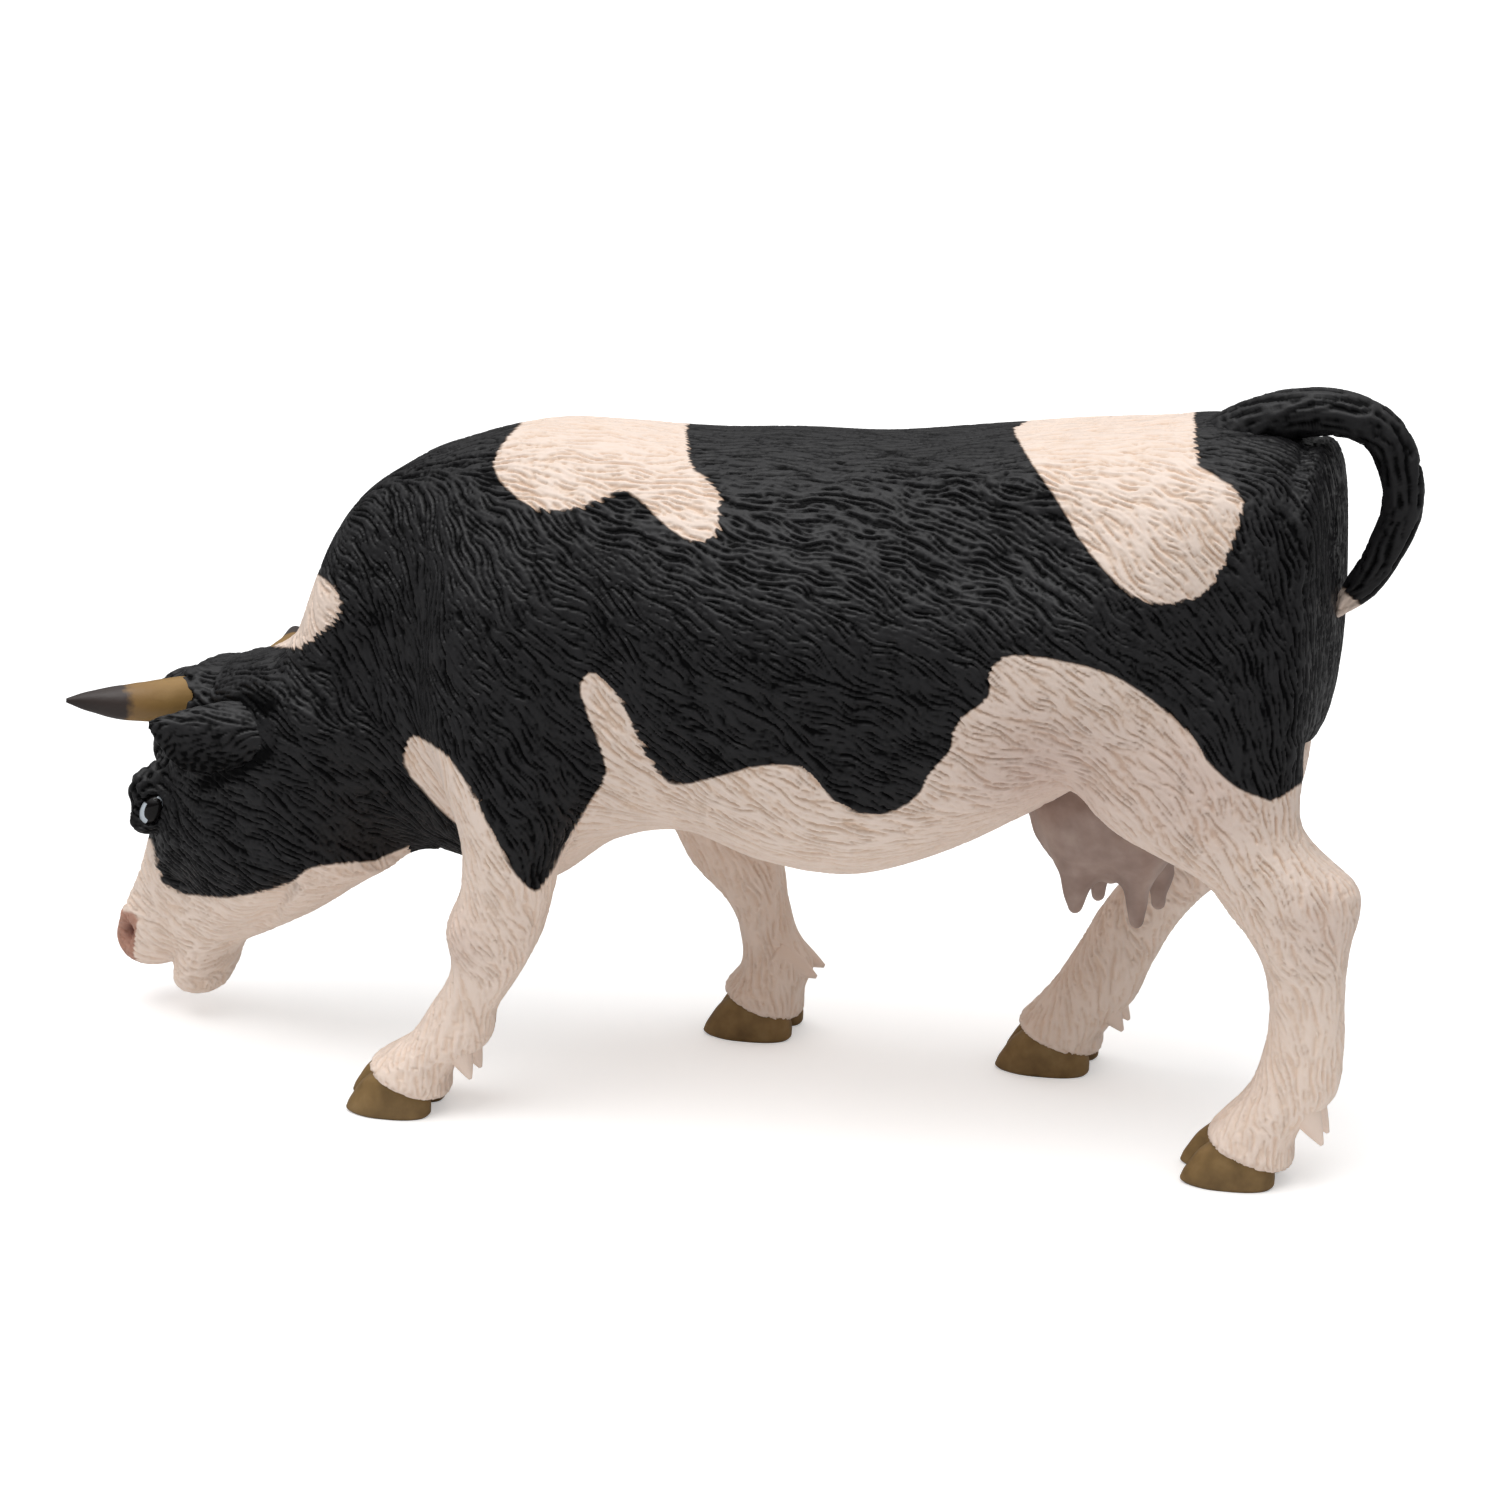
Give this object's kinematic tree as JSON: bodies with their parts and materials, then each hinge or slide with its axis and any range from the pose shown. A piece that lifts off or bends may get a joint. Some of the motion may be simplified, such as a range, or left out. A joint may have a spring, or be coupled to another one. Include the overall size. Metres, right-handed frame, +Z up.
{
  "type": "cow figurine",
  "caption": "Moulded and painted grazing cow figurine, black and cream, standing on its hooves, with head lowered and turned and tail arched back on to the rump.",
  "frame": {"origin": "middle of the bounding box's footprint, on the plane of the soles", "axes": "+Z up; the cow faces -X, its left side is towards -Y"},
  "size_m": [0.1408, 0.0438, 0.0792],
  "materials": {
    "coat_black": "soft vinyl with moulded hair strokes, painted satin black with cream patches",
    "coat_cream": "soft vinyl with moulded hair strokes, painted cream with a thin brown wash; hooves olive brown",
    "horn": "smooth vinyl painted tan with a grey-brown tip",
    "udder": "smooth vinyl painted greyish pink"
  },
  "bodies": {
    "root": {"torso": "coat_black", "head": "coat_black", "horn_left": "horn", "horn_right": "horn", "ear_left": "coat_black", "ear_right": "coat_black", "foreleg_left": "coat_cream", "foreleg_right": "coat_cream", "hindleg_left": "coat_cream", "hindleg_right": "coat_cream", "tail": "coat_black", "udder": "udder"}
  },
  "joints": []
}
